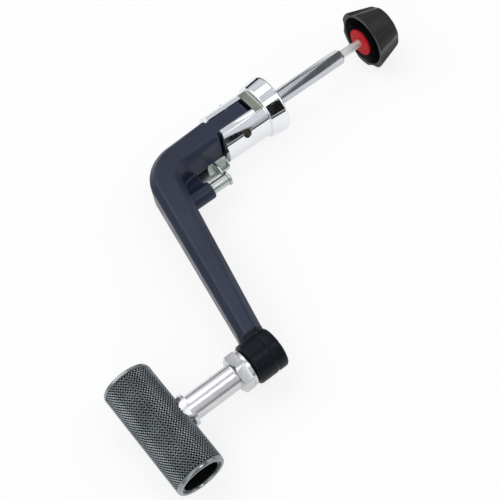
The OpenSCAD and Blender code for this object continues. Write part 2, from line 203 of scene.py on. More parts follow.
class Effects:
    """The shader groups that several finishes share, each built once."""

    def __init__(self) -> None:
        """Builds every group."""
        self.edge = self._worn_and_lit_edge_mask()
        self.grain = self._grain()
        self.turning = self._turning_marks()
        self.smudge = self._smudges()
        self.zone = self._box_zone()

    @staticmethod
    def _worn_and_lit_edge_mask() -> NodeTree:
        """Builds the mask of sharp edges, broken up by noise.

        Returns:
            The group, with Radius, Strength and Break Up in and Mask out.
        """
        # This edge mask lightens worn edges, and on the cast paint it also lays a painted highlight.
        g = Effect("edge_wear", {"Radius": 0.3 * MM, "Strength": 4.0, "Break Up": 900.0}, "Mask")
        bevel = g.add("ShaderNodeBevel", {"Radius": g.given["Radius"]}, samples=6).outputs[0]
        normal = g.add("ShaderNodeNewGeometry").outputs["Normal"]
        dot = g.add("ShaderNodeVectorMath", {0: bevel, 1: normal}, operation="DOT_PRODUCT").outputs["Value"]
        noise = g.noise(g.place, Scale=g.given["Break Up"], Detail=3.0)
        bare = g.math("MULTIPLY", g.math("SUBTRACT", 1.0, dot), g.given["Strength"])
        return g.ended(Mask=g.math("MULTIPLY", bare, g.math("ADD", noise, 0.4), clamp=True))

    @staticmethod
    def _grain() -> NodeTree:
        """Builds a fine isotropic grain.

        Returns:
            The group, with Scale and Detail in and Height and Cells out.
        """
        g = Effect("fine_grain", {"Scale": 2500.0, "Detail": 4.0}, "Height", "Cells")
        height = g.noise(g.place, Scale=g.given["Scale"], Detail=g.given["Detail"], Roughness=0.6)
        cells = g.add("ShaderNodeTexVoronoi", {"Vector": g.place, "Scale": g.given["Scale"]})
        return g.ended(Height=height, Cells=cells.outputs["Distance"])

    @staticmethod
    def _turning_marks() -> NodeTree:
        """Builds fine rings round the X axis, as a lathe tool leaves.

        Returns:
            The group, with Scale and Waver in and Height out.
        """
        g = Effect("turning_marks", {"Scale": 900.0, "Waver": 1.2}, "Height")
        drawn = g.add("ShaderNodeMapping", {"Vector": g.place, "Scale": (1.0, 0.04, 0.04)}).outputs[0]
        return g.ended(Height=g.noise(drawn, Scale=g.given["Scale"], Detail=5.0, Roughness=0.7,
                                      Distortion=g.given["Waver"]))

    @staticmethod
    def _smudges() -> NodeTree:
        """Builds broad soft patches of handling marks.

        Returns:
            The group, with Scale, Low and High in and Amount out.
        """
        g = Effect("smudges", {"Scale": 90.0, "Low": 0.0, "High": 1.0}, "Amount")
        noise = g.noise(g.place, Scale=g.given["Scale"], Detail=6.0, Roughness=0.55)
        spread = g.add("ShaderNodeMapRange", {
            "Value": noise, "From Min": 0.35, "From Max": 0.65, "To Min": g.given["Low"],
            "To Max": g.given["High"]})
        return g.ended(Amount=spread.outputs[0])

    @staticmethod
    def _box_zone() -> NodeTree:
        """Builds the mask of a box in the piece's own frame.

        Returns:
            The group, with a Low and a High for each axis in and Mask out.
        """
        g = Effect("box_zone", {f"{axis} {end}": 0.0 for axis in "XYZ" for end in ("Low", "High")}, "Mask")
        mask: object = 1.0
        for axis, part in zip("XYZ", g.add("ShaderNodeSeparateXYZ", {0: g.place}).outputs):
            above = g.math("GREATER_THAN", part, g.given[f"{axis} Low"])
            below = g.math("LESS_THAN", part, g.given[f"{axis} High"])
            mask = g.math("MULTIPLY", mask, g.math("MULTIPLY", above, below))
        return g.ended(Mask=mask)


class Surface(Graph):
    """A material's graph, with its Principled shader and the shared effects."""

    def __init__(self, made: Material, effects: Effects) -> None:
        """Empties the material's tree and starts it anew.

        Args:
            made: the material.
            effects: the shared shader groups.
        """
        super().__init__(emptied(made).tree)
        self.effects = effects
        self.shader = self.add("ShaderNodeBsdfPrincipled")
        self.add("ShaderNodeOutputMaterial", {"Surface": self.shader.outputs[0]})

    def group(self, tree: NodeTree, **values: float) -> Node:
        """Places a shared effect; underscores in its inputs' names stand for spaces."""
        inputs = {key.replace("_", " "): value for key, value in values.items()}
        return self.add("ShaderNodeGroup", inputs, node_tree=tree)

    def smudge(self, scale: float, low: float = 0.0, high: float = 1.0) -> NodeSocket:
        """Gives a number that drifts between two values in soft patches."""
        return self.group(self.effects.smudge, Scale=scale, Low=low, High=high).outputs["Amount"]

    def grain(self, scale: float, distance: float, under: Optional[NodeSocket] = None,
              detail: float = 4.0) -> NodeSocket:
        """Presses a fine grain into the surface, over a normal if there is one."""
        height = self.group(self.effects.grain, Scale=scale, Detail=detail).outputs["Height"]
        return self.bump(height, distance, under)

    def bump(self, height: NodeSocket, distance: float, under: Optional[NodeSocket] = None) -> NodeSocket:
        """Feeds a height to the shader's normal.

        Args:
            height: the height socket.
            distance: the height of a full step, in metres.
            under: a normal to lay it over.

        Returns:
            The bump's normal socket.
        """
        node = self.add("ShaderNodeBump", {"Height": height, "Distance": distance, "Strength": 1.0})
        if under is not None:
            self.feed(node, {"Normal": under})
        self.feed(self.shader, {"Normal": node.outputs[0]})
        return node.outputs[0]


@dataclass(frozen=True)
class Zone:
    """A box in the piece's own frame whose surface has another colour and roughness."""

    low: Point
    high: Point
    colour: Colour
    rough: float

    def lay(self, g: Surface, colour: NodeSocket,
            rough: NodeSocket) -> tuple[NodeSocket, NodeSocket, NodeSocket]:
        """Lays the zone over a finish.

        Args:
            g: the material's surface.
            colour: the finish's colour socket.
            rough: the finish's roughness socket.

        Returns:
            The new colour and roughness sockets, and the mask's socket, 1 inside the zone.
        """
        ends = {f"{axis}_{end}": corner[index] for index, axis in enumerate("XYZ")
                for end, corner in (("Low", self.low), ("High", self.high))}
        mask = g.group(g.effects.zone, **ends).outputs["Mask"]
        return g.mix(mask, colour, self.colour), g.blend(mask, rough, self.rough), mask


@dataclass(frozen=True)
class Edge:
    """How wide, how strongly and how brokenly sharp edges are lightened: wear, and on the paint also a painted
    highlight.
    """

    radius: float
    strength: float
    noise: float = 900.0

    def lay(self, g: Surface, colour: NodeSocket, worn_and_highlit_edge_colour: Colour, share: float = 1.0) -> NodeSocket:
        """Lays a lighter colour over sharp edges: wear, and on the cast paint also a painted highlight.

        Args:
            g: the material's surface.
            colour: the finish's colour socket.
            worn_and_highlit_edge_colour: the colour of a worn edge, which on the cast paint is also a painted
                highlight.
            share: how much of it shows.

        Returns:
            The new colour socket.
        """
        edge = g.group(g.effects.edge, Radius=self.radius, Strength=self.strength, Break_Up=self.noise)
        return g.mix(g.math("MULTIPLY", edge.outputs["Mask"], share), colour, worn_and_highlit_edge_colour)


@dataclass(frozen=True)
class Finish:
    """A surface finish: a Principled material in two colours that lie in soft patches."""

    name: str
    colour: Colour
    shade: Colour

    def material(self, effects: Effects) -> Material:
        """Makes the material.

        Args:
            effects: the shared shader groups.

        Returns:
            The finished material.
        """
        made = bpy.data.materials.new(self.name)
        self.paint(Surface(made, effects))
        return made

    def paint(self, g: Surface) -> None:
        """Sets the shader's sockets; each finish has its own."""
        raise NotImplementedError

    def patches(self, g: Surface, scale: float) -> NodeSocket:
        """Gives the finish's two colours in soft patches."""
        return g.mix(g.smudge(scale), self.colour, self.shade)


@dataclass(frozen=True)
class Metal(Finish):
    """A bare, plated or polished metal; marks and grain are heights in millimetres."""

    rough_low: float
    rough_high: float
    marks: float = 0.0
    marks_scale: float = 900.0
    grain: float = 0.0
    grain_scale: float = 2500.0
    edge: Optional[Edge] = None
    wear_colour: Colour = (0.8, 0.8, 0.8)
    # Painted shade in hollows: how far below mid pointiness it reaches full strength, and its near-black
    # colour.
    painted_pit_shade: float = 0.0
    painted_pit_shade_colour: Colour = (0.004, 0.004, 0.005)
    zone: Optional[Zone] = None
    patch_scale: float = 140.0
    rough_scale: float = 260.0

    def paint(self, g: Surface) -> None:
        """Sets a metal's colour, roughness and fine relief, and paints shade into hollows where the finish asks
        for it.

        Args:
            g: the material's surface.
        """
        colour = self.patches(g, self.patch_scale)
        if self.edge is not None:
            colour = self.edge.lay(g, colour, self.wear_colour)
        # Painted shade: hollows, found by low pointiness, are darkened towards a near-black colour.
        if self.painted_pit_shade > 0.0:
            bend = g.add("ShaderNodeNewGeometry").outputs["Pointiness"]
            sunk = g.add("ShaderNodeMapRange", {"Value": bend, "From Min": 0.5, "From Max": 0.5 - self.painted_pit_shade})
            colour = g.mix(sunk.outputs[0], colour, self.painted_pit_shade_colour)
        rough = g.smudge(self.rough_scale, self.rough_low, self.rough_high)
        if self.zone is not None:
            colour, rough, _ = self.zone.lay(g, colour, rough)
        g.feed(g.shader, {"Base Color": colour, "Metallic": 1.0, "Roughness": rough})
        under = None
        if self.marks > 0.0:
            rings = g.group(g.effects.turning, Scale=self.marks_scale)
            under = g.bump(rings.outputs["Height"], self.marks * MM)
        if self.grain > 0.0:
            g.grain(self.grain_scale, self.grain * MM, under)


@dataclass(frozen=True)
class CastPaint(Finish):
    """Satin metallic paint over a die casting: faint orange peel, flake sparkle, worn edges with a painted
    highlight.
    """

    worn_and_highlit_edge_colour: Colour
    rough: float
    specular: float = 0.30
    zone: Optional[Zone] = None
    zone_specular: float = 0.12
    patch_scale: float = 60.0
    flake_scale: float = 5200.0
    flake_size: float = 0.22
    flake_share: float = 0.12
    flake_colour: Colour = (0.35, 0.38, 0.45)
    edge: Edge = Edge(1.0 * MM, 9.0, 500.0)
    edge_share: float = 0.5
    rough_scale: float = 210.0
    smoother: float = 0.04
    rougher: float = 0.05
    peel_scale: float = 1400.0
    peel: float = 0.012 * MM
    fine_scale: float = 6000.0
    fine: float = 0.003 * MM

    def paint(self, g: Surface) -> None:
        """Sets the paint's colour, flake, peel, and worn edges with a painted highlight.

        Args:
            g: the material's surface.
        """
        cells = g.group(g.effects.grain, Scale=self.flake_scale).outputs["Cells"]
        spark = g.math("MULTIPLY", g.math("LESS_THAN", cells, self.flake_size), self.flake_share)
        colour = g.mix(spark, self.patches(g, self.patch_scale), self.flake_colour)
        # Painted highlight: a light band along the arm's edges, mixed half in, together with edge wear.
        colour = self.edge.lay(g, colour, self.worn_and_highlit_edge_colour, self.edge_share)
        rough = g.smudge(self.rough_scale, self.rough - self.smoother, self.rough + self.rougher)
        specular: object = self.specular
        if self.zone is not None:
            colour, rough, mask = self.zone.lay(g, colour, rough)
            specular = g.blend(mask, self.specular, self.zone_specular)
        g.feed(g.shader, {"Base Color": colour, "Roughness": rough, "Specular IOR Level": specular})
        under = g.grain(self.peel_scale, self.peel, detail=2.0)
        g.grain(self.fine_scale, self.fine, under)


@dataclass(frozen=True)
class Moulded(Finish):
    """A moulded plastic with lighter worn edges and a fine texture, whose height is in millimetres."""

    rough: float
    texture: float = 0.006
    texture_scale: float = 3200.0
    rub: float = 0.25
    rub_colour: Colour = (0.09, 0.085, 0.08)
    specular: float = 0.28
    patch_scale: float = 120.0
    edge: Edge = Edge(0.4 * MM, 2.5, 800.0)
    rough_scale: float = 300.0
    rough_swing: float = 0.06

    def paint(self, g: Surface) -> None:
        """Sets the plastic's colour, sheen and texture.

        Args:
            g: the material's surface.
        """
        colour = self.edge.lay(g, self.patches(g, self.patch_scale), self.rub_colour, self.rub)
        rough = g.smudge(self.rough_scale, self.rough - self.rough_swing, self.rough + self.rough_swing)
        g.feed(g.shader, {"Base Color": colour, "Roughness": rough, "Specular IOR Level": self.specular})
        g.grain(self.texture_scale, self.texture * MM)


LAND = Zone((-10.6 * MM, -0.02, 7.4 * MM), (-7.35 * MM, 0.02, 0.02), (0.19, 0.20, 0.17), 0.36)
BOSS = Zone((-0.08, -0.09, -0.01), (-0.05, -71.3 * MM, 0.01), (0.004, 0.006, 0.010), 0.34)
STUB = Zone((31.0 * MM, -0.01, -0.01), (0.05, 0.01, 0.01), (0.80, 0.80, 0.78), 0.42)
CHROME = Metal("chrome_turned", (0.88, 0.89, 0.91), (0.84, 0.86, 0.88), 0.04, 0.08, marks=0.0008,
               marks_scale=1300.0, zone=LAND)
SHAFT_CHROME = Metal("chrome_drawn", (0.64, 0.66, 0.70), (0.58, 0.60, 0.64), 0.10, 0.16, grain=0.0006,
                     grain_scale=1500.0, zone=STUB)
DARK_STEEL = Metal("dark_oiled_steel", (0.030, 0.026, 0.018), (0.015, 0.012, 0.008), 0.30, 0.5, grain=0.01)
STEEL = Metal("plain_steel", (0.55, 0.56, 0.57), (0.45, 0.46, 0.47), 0.22, 0.36, marks=0.001)
ZINC = Metal("zinc_plate", (0.60, 0.64, 0.61), (0.50, 0.54, 0.51), 0.26, 0.38, grain=0.001,
             grain_scale=1600.0, edge=Edge(0.25 * MM, 1.2), wear_colour=(0.85, 0.87, 0.85))
ALUMINIUM = Metal("satin_aluminium", (0.70, 0.70, 0.71), (0.64, 0.64, 0.65), 0.22, 0.26)
# The knurl's hollows get painted shade, darker than the metal's own colour.
GUNMETAL = Metal("gunmetal_knurl", (0.34, 0.37, 0.385), (0.22, 0.245, 0.255), 0.20, 0.28, grain=0.001,
                 painted_pit_shade=0.03)
BRASS = Metal("plain_brass", (0.72, 0.55, 0.28), (0.60, 0.44, 0.22), 0.22, 0.38, marks=0.004)
# The third colour is the edges' worn paint and painted highlight.
SLATE = CastPaint("slate_casting_paint", (0.014, 0.020, 0.045), (0.010, 0.015, 0.034), (0.20, 0.21, 0.23),
                  0.32, zone=BOSS)
BLACK = Moulded("moulded_black", (0.007, 0.007, 0.008), (0.004, 0.004, 0.005), 0.34)
GLOSS = Moulded("gloss_black", (0.008, 0.008, 0.008), (0.005, 0.005, 0.006), 0.12, texture=0.001, rub=0.0,
                specular=0.5)
RED = Moulded("red_collar", (0.50, 0.008, 0.014), (0.40, 0.005, 0.010), 0.50, texture=0.002, rub=0.1,
              rub_colour=(0.6, 0.1, 0.1), specular=0.10)


class Wardrobe:
    """Makes each finish's material once."""

    def __init__(self) -> None:
        """Builds the shared effects."""
        self.effects = Effects()
        self.made: dict[str, Material] = {}

    def get(self, finish: Finish) -> Material:
        """Gives the finish's material, made on first use.

        Args:
            finish: the finish.

        Returns:
            Its material.
        """
        if finish.name not in self.made:
            self.made[finish.name] = finish.material(self.effects)
        return self.made[finish.name]

    def dress(self, piece: Object, finish: Finish) -> None:
        """Puts a finish on every slot of a piece."""
        piece.data.materials.clear()
        piece.data.materials.append(self.get(finish))


# -------- mesh building


class Body(Enum):
    """The moving bodies of the handle."""

    YOKE = "yoke_shaft"
    CRANK = "crank"
    LOCK = "lock"
    KNOB = "knob"
    COLLAR = "collar"
    CAP = "cap"


def link(name: str, data: bpy.types.ID) -> Object:
    """Makes an object and puts it in the scene.

    Args:
        name: the object's name.
        data: its mesh, curve, light or camera.

    Returns:
        The new object.
    """
    piece = bpy.data.objects.new(name, data)
    bpy.context.scene.collection.objects.link(piece)
    return piece


def evaluated(piece: Object) -> Mesh:
    """Gives a new mesh of an object with its modifiers worked in."""
    bpy.context.view_layer.update()
    return bpy.data.meshes.new_from_object(piece.evaluated_get(bpy.context.evaluated_depsgraph_get()))


def applied(piece: Object) -> Object:
    """Turns the evaluated object into a plain mesh and takes its modifiers off.

    Args:
        piece: the object.

    Returns:
        The same object.
    """
    mesh = evaluated(piece)
    piece.modifiers.clear()
    piece.data = mesh
    return piece


def baked(work: bmesh.types.BMesh, mesh: Mesh) -> Mesh:
    """Writes an edited shape into a mesh and frees it.

    Args:
        work: the edited shape.
        mesh: the mesh that it becomes.

    Returns:
        The same mesh.
    """
    work.to_mesh(mesh)
    work.free()
    return mesh


def shade(piece: Object, degrees: float = 30.0) -> None:
    """Smooths a piece's shading except at edges sharper than an angle.

    Args:
        piece: the piece.
        degrees: the angle.
    """
    for polygon in piece.data.polygons:
        polygon.use_smooth = True
    piece.data.set_sharp_from_angle(angle=math.radians(degrees))


def cad_copy(node: str, name: str) -> Object:
    """Copies a CAD node's mesh, merged, with its flat faces joined up.

    Args:
        node: the CAD node's name.
        name: the new piece's name.

    Returns:
        The new object.
    """
    flat = math.radians(0.6)
    work = bmesh.new()
    work.from_mesh(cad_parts[node].data)
    bmesh.ops.remove_doubles(work, verts=work.verts, dist=MERGE)
    bmesh.ops.dissolve_limit(work, angle_limit=flat, verts=work.verts, edges=work.edges)
    return link(name, baked(work, bpy.data.meshes.new(name)))


def softened(node: str, name: str, width: float, segments: int = 2, angle: float = 32.0) -> Object:
    """Makes a copy of a CAD node with small rounded edges.

    Args:
        node: the CAD node's name.
        name: the new piece's name.
        width: the rounding's width, in metres.
        segments: steps across a rounded edge.
        angle: the least angle of an edge that is rounded, in degrees.

    Returns:
        The rounded piece.
    """
    piece = cad_copy(node, name)
    shade(piece, angle)
    bevel = piece.modifiers.new("rounding", "BEVEL")
    bevel.width = width
    bevel.segments = segments
    bevel.limit_method = "ANGLE"
    bevel.angle_limit = math.radians(angle)
    bevel.use_clamp_overlap = True
    bevel.miter_outer = "MITER_ARC"
    bevel.harden_normals = True
    return applied(piece)


def turned(piece: Object, axis: Pair, reach: float = 14.0) -> Object:
    """Gives the turned faces of a piece the normals of a true cylinder or cone.

    Args:
        piece: the piece, turned round a line along X.
        axis: the line's place along Y and Z.
        reach: how far a corner may lie round from its face's own direction, in degrees.

    Returns:
        The same piece.
    """
    least_lean = 0.3
    least_radius = 0.5 * MM
    mesh = piece.data
    normals = [corner.vector.copy() for corner in mesh.corner_normals]
    limit = math.cos(math.radians(reach))
    for polygon in mesh.polygons:
        across = polygon.normal.yz
        spokes = [mesh.vertices[v].co.yz - Vector(axis) for v in polygon.vertices]
        if across.length < least_lean or min(spoke.length for spoke in spokes) < least_radius:
            continue
        if min(across.normalized().dot(spoke.normalized()) for spoke in spokes) < limit:
            continue
        for loop, spoke in zip(polygon.loop_indices, spokes):
            out = spoke.normalized() * across.length
            normals[loop] = Vector((polygon.normal.x, out.x, out.y))
    mesh.normals_split_custom_set(normals)
    return piece


def cast(node: str, name: str, voxel: float, rounds: int, levels: Sequence[float],
         fills: Sequence[tuple[Point, Point]]) -> Object:
    """Makes a cast copy of a CAD node, with small radii on every edge and fillets in every corner.

    Args:
        node: the CAD node's name.
        name: the new piece's name.
        voxel: the remeshing step, in metres.
        rounds: how many times the surface is relaxed.
        levels: heights of flat faces, which take in every point that lies close by.
        fills: boxes that thicken walls too thin for the remeshing step, as least and greatest corners.

    Returns:
        The cast piece.
    """
    close_by = 0.1 * MM
    piece = cad_copy(node, name)
    for vertex in piece.data.vertices:
        for level in levels:
            if abs(vertex.co.z - level) < close_by:
                vertex.co.z = level
    work = bmesh.new()
    work.from_mesh(piece.data)
    for low, high in fills:
        span = [b - a for a, b in zip(low, high)]
        middle = Matrix.Translation([(a + b) / 2 for a, b in zip(low, high)])
        bmesh.ops.create_cube(work, size=1.0, matrix=middle @ Matrix.Diagonal((*span, 1.0)))
    baked(work, piece.data)
    remesh = piece.modifiers.new("skin", "REMESH")
    remesh.mode = "VOXEL"
    remesh.voxel_size = voxel
    relax = piece.modifiers.new("relax", "SMOOTH")
    relax.factor = 0.5
    relax.iterations = rounds
    applied(piece)
    for polygon in piece.data.polygons:
        polygon.use_smooth = True
    return piece


def stamped(name: str, outlines: Sequence[Sequence[Pair]], thickness: float, rounding: float,
            place: Matrix) -> Object:
    """Stamps a flat piece with rounded edges out of sheet.

    Args:
        name: the piece's name.
        outlines: the outer outline, then any holes.
        thickness: the sheet's thickness.
        rounding: the radius of its edges.
        place: where the sheet's middle plane lies.

    Returns:
        The stamped piece.
    """
    curve = bpy.data.curves.new(name, "CURVE")
    curve.dimensions = "2D"
    curve.fill_mode = "BOTH"
    curve.extrude = thickness / 2 - rounding
    curve.bevel_depth = rounding
    curve.bevel_resolution = 2
    curve.offset = -rounding
    for outline in outlines:
        spline = curve.splines.new("POLY")
        spline.points.add(len(outline) - 1)
        spline.use_cyclic_u = True
        for point, (u, v) in zip(spline.points, outline):
            point.co = (u, v, 0.0, 1.0)
    holder = link(name + "_outline", curve)
    mesh = evaluated(holder)
    bpy.data.objects.remove(holder)
    work = bmesh.new()
    work.from_mesh(mesh)
    bmesh.ops.remove_doubles(work, verts=work.verts, dist=MERGE)
    bmesh.ops.recalc_face_normals(work, faces=work.faces)
    baked(work, mesh).transform(place)
    piece = link(name, mesh)
    shade(piece, 20.0)
    return piece


def rounded(low: Pair, high: Pair, radius: float) -> list[Pair]:
    """Gives the outline of a rectangle with round corners.

    Args:
        low: its least corner.
        high: its greatest corner.
        radius: the corners' radius.

    Returns:
        The outline's points.
    """
    steps = 8
    corners = ((high[0] - radius, high[1] - radius), (low[0] + radius, high[1] - radius),
               (low[0] + radius, low[1] + radius), (high[0] - radius, low[1] + radius))
    return [(u + radius * math.cos(a), v + radius * math.sin(a)) for quarter, (u, v) in enumerate(corners)
            for a in (math.pi / 2 * (quarter + step / steps) for step in range(steps + 1))]


def lathe_y(name: str, profile: Sequence[Pair], steps: int) -> Object:
    """Turns a closed profile round the Y axis.

    Args:
        name: the piece's name.
        profile: radius and place along Y of each point, in order round the loop.
        steps: points round a full turn.

    Returns:
        The turned piece.
    """
    work = bmesh.new()
    rings = []
    for i in range(steps):
        a = 2 * math.pi * i / steps
        rings.append([work.verts.new((r * math.cos(a), y, r * math.sin(a))) for r, y in profile])
    for i in range(steps):
        here, after = rings[i], rings[(i + 1) % steps]
        for j in range(len(profile)):
            k = (j + 1) % len(profile)
            work.faces.new((here[j], here[k], after[k], after[j]))
    bmesh.ops.recalc_face_normals(work, faces=work.faces)
    return link(name, baked(work, bpy.data.meshes.new(name)))


class GeometryRecipe(Graph):
    """A Geometry Nodes tree with named inputs that can be run on an object."""

    def __init__(self, name: str, numbers: Sequence[str], vectors: Sequence[str] = ()) -> None:
        """Starts the tree.

        Args:
            name: the tree's name.
            numbers: the names of its number inputs.
            vectors: the names of its vector inputs.
        """
        super().__init__(bpy.data.node_groups.new(name, "GeometryNodeTree"))
        new_socket = self.tree.interface.new_socket
        for kind, labels in (("Geometry", ("Geometry",)), ("Vector", vectors), ("Float", numbers),
                             ("Material", ("Material",))):
            for label in labels:
                new_socket(name=label, in_out="INPUT", socket_type=f"NodeSocket{kind}")
        new_socket(name="Geometry", in_out="OUTPUT", socket_type="NodeSocketGeometry")
        self.given = self.add("NodeGroupInput").outputs
        self.sink = self.add("NodeGroupOutput")

    def finish(self, geometry: NodeSocket) -> None:
        """Ends the tree in Realize Instances and Set Material.

        Args:
            geometry: the socket of the finished shape.
        """
        real = self.add("GeometryNodeRealizeInstances", {"Geometry": geometry}).outputs[0]
        dressed = self.add("GeometryNodeSetMaterial", {"Geometry": real, "Material": self.given["Material"]})
        self.feed(self.sink, {"Geometry": dressed.outputs[0]})

    def run(self, piece: Object, **values: object) -> Object:
        """Runs the tree on a piece and keeps the result as a plain mesh.

        Args:
            piece: the object that gets the modifier.
            values: the inputs' names and values.

        Returns:
            The same object with its new mesh.
        """
        modifier = piece.modifiers.new(self.tree.name, "NODES")
        modifier.node_group = self.tree
        known = {s.name: s.identifier for s in self.tree.interface.items_tree if s.in_out == "INPUT"}
        for key, value in values.items():
            modifier[known[key]] = value
        return applied(piece)


def knurl_recipe() -> GeometryRecipe:
    """Builds the tree that presses a diamond knurl into a tube round the Y axis.

    Returns:
        The recipe, with the tube's radius, band, starts, rows and depth as inputs.
    """
    crest = 0.8
    skin = 0.02 * MM
    g = GeometryRecipe("diamond_knurl", ("Radius", "Band", "Starts", "Rows", "Depth"))
    x, y, z = g.add("ShaderNodeSeparateXYZ", {0: g.add("GeometryNodeInputPosition").outputs[0]}).outputs
    turn = g.math("DIVIDE", g.math("ARCTAN2", z, x), 2 * math.pi)
    round_phase = g.math("MULTIPLY", turn, g.given["Starts"])
    along = g.math("DIVIDE", y, g.math("MULTIPLY", g.given["Band"], 2.0))
    long_phase = g.math("MULTIPLY", along, g.given["Rows"])
    ridges = []
    for operation in ("ADD", "SUBTRACT"):
        phase = g.math("FRACT", g.math(operation, round_phase, long_phase))
        swing = g.math("SUBTRACT", g.math("MULTIPLY", phase, 2.0), 1.0)
        ridges.append(g.math("SUBTRACT", 1.0, g.math("ABSOLUTE", swing)))
    height = g.math("MINIMUM", g.math("MINIMUM", *ridges), crest)
    sunk = g.math("MULTIPLY", g.math("SUBTRACT", height, crest), g.given["Depth"])
    reach = g.math("SQRT", g.math("ADD", g.math("MULTIPLY", x, x), g.math("MULTIPLY", z, z)))
    on_skin = g.math("GREATER_THAN", reach, g.math("SUBTRACT", g.given["Radius"], skin))
    in_band = g.math("LESS_THAN", g.math("ABSOLUTE", y), g.given["Band"])
    step = g.math("DIVIDE", g.math("MULTIPLY", g.math("MULTIPLY", sunk, on_skin), in_band), reach)
    shift = g.add("ShaderNodeCombineXYZ", {0: g.math("MULTIPLY", x, step), 2: g.math("MULTIPLY", z, step)})
    moved = g.add("GeometryNodeSetPosition", {"Geometry": g.given["Geometry"], "Offset": shift.outputs[0]})
    g.finish(moved.outputs[0])
    return g


def thread_recipe() -> GeometryRecipe:
    """Builds the tree that winds a fine screw thread along X.

    Returns:
        The recipe, with the start, length, radius, turns and ridge as inputs.
    """
    g = GeometryRecipe("fine_thread", ("Length", "Radius", "Turns", "Ridge"), ("Start",))
    helix = g.add("GeometryNodeCurveSpiral", {
        "Resolution": 40, "Rotations": g.given["Turns"], "Start Radius": g.given["Radius"],
        "End Radius": g.given["Radius"], "Height": g.given["Length"]})
    profile = g.add("GeometryNodeCurvePrimitiveCircle", {"Resolution": 4, "Radius": g.given["Ridge"]})
    wound = g.add("GeometryNodeCurveToMesh", {
        "Curve": helix.outputs[0], "Profile Curve": profile.outputs[0], "Fill Caps": True})
    laid = g.add("GeometryNodeTransform", {
        "Geometry": wound.outputs[0], "Rotation": (0.0, math.pi / 2, 0.0), "Translation": g.given["Start"]})
    g.finish(laid.outputs[0])
    return g


# -------- sub-assemblies


@dataclass
class SubAssembly:
    """Something that makes and dresses the pieces of one part of the handle."""

    wardrobe: Wardrobe

    def add(self, piece: Object, body: Body, finish: Finish, slot: str, *nodes: str) -> None:
        """Dresses a piece, says what it rides on and which CAD nodes it stands for.

        Args:
            piece: the finished piece.
            body: the body that it moves with.
            finish: its finish.
            slot: the name of a material slot; not used.
            nodes: the CAD nodes it replaces.
        """
        self.wardrobe.dress(piece, finish)
        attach(piece, body.value)
        if nodes:
            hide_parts(*nodes)
        LOG.info("%s: %d faces on %s", piece.name, len(piece.data.polygons), body.value)

    def keep(self, finish: Finish, *nodes: str) -> None:
        """Keeps CAD nodes as they are, with a better finish.

        Args:
            finish: their finish.
            nodes: the CAD nodes' names.
        """
        for node in nodes:
            self.wardrobe.dress(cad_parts[node], finish)
            LOG.info("%s: CAD node in %s", node, finish.name)


@dataclass
class YokeAndShaft(SubAssembly):
    """The chromed yoke, the hexagonal drive shaft and what is fixed in them."""

    yoke_edge: float = 0.16 * MM
    shaft_edge: float = 0.12 * MM
    thread_start: float = 42.2 * MM
    thread_end: float = 47.6 * MM
    thread_pitch: float = 0.4 * MM
    thread_radius: float = 1.45 * MM
    thread_ridge: float = 0.08 * MM

    def build(self) -> None:
        """Makes the yoke, the shaft and its thread."""
        yoke = turned(softened("yoke", "yoke_turned", self.yoke_edge, 3), (0.0, 0.0))
        self.add(yoke, Body.YOKE, CHROME, "chrome_yoke", "yoke")
        shaft = turned(softened("drive_shaft", "hex_shaft", self.shaft_edge, 2), (0.0, 0.0))
        self.add(shaft, Body.YOKE, SHAFT_CHROME, "chrome_shaft", "drive_shaft")
        self.add(self._thread(), Body.YOKE, SHAFT_CHROME, "chrome_shaft")
        self.keep(DARK_STEEL, "grub_screw", "hinge_pin")

    def _thread(self) -> Object:
        """Winds the stub's fine thread.

        Returns:
            The thread's piece.
        """
        piece = link("stub_thread", bpy.data.meshes.new("stub_thread"))
        length = self.thread_end - self.thread_start
        thread_recipe().run(
            piece, Start=(self.thread_start, 0.0, 0.0), Length=length, Radius=self.thread_radius,
            Turns=length / self.thread_pitch, Ridge=self.thread_ridge,
            Material=self.wardrobe.get(SHAFT_CHROME))
        shade(piece, 50.0)
        return piece


@dataclass
class CrankArm(SubAssembly):
    """The painted arm with its hinge bush, and the knob's spindle."""

    voxel: float = 0.27 * MM
    rounds: int = 12
    top: float = 7.4 * MM
    under: float = -5.2 * MM
    boss_y: float = -78.0 * MM
    boss_radius: float = 7.0 * MM
    groove_x: float = -64.0 * MM
    groove_half: float = 0.55 * MM
    groove_depth: float = 0.35 * MM
    groove_reach: float = 0.3 * MM
    bore_floor: tuple[Point, Point] = (
        (-54.0 * MM, -16.2 * MM, -5.2 * MM), (-48.6 * MM, -11.8 * MM, -4.3 * MM))
    spring_end: float = -52.0 * MM
    lock_travel: float = 4.0 * MM

    def build(self) -> None:
        """Makes the casting and dresses the small parts in it."""
        levels = (self.top, self.under)
        casting = cast("arm", "arm_casting", self.voxel, self.rounds, levels, (self.bore_floor,))
        self._groove(casting)
        self.add(casting, Body.CRANK, SLATE, "slate_paint", "arm")
        self._spring()
        self.keep(STEEL, "shim_reel_side", "shim_knob_side", "lock_screw", "spindle", "spindle_collar",
                  "end_washer", "end_screw")
        self.keep(BRASS, "hinge_bush")
        self.keep(BLACK, "thrust_washer")

    def _spring(self) -> None:
        """Makes the lock's spring."""
        spring = cad_copy("lock_spring", "spring_wire")
        shade(spring, 70.0)
        self.add(spring, Body.CRANK, STEEL, "steel", "lock_spring")
        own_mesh(spring)

    def _groove(self, casting: Object) -> None:
        """Turns a fine groove round the knob's boss.

        Args:
            casting: the arm's piece.
        """
        for vertex in casting.data.vertices:
            y, z = vertex.co.y - self.boss_y, vertex.co.z
            reach = math.hypot(y, z)
            near = 1.0 - abs(vertex.co.x - self.groove_x) / self.groove_half
            if near > 0.0 and abs(reach - self.boss_radius) < self.groove_reach:
                kept = 1.0 - self.groove_depth * near / reach
                vertex.co.y, vertex.co.z = self.boss_y + y * kept, z * kept


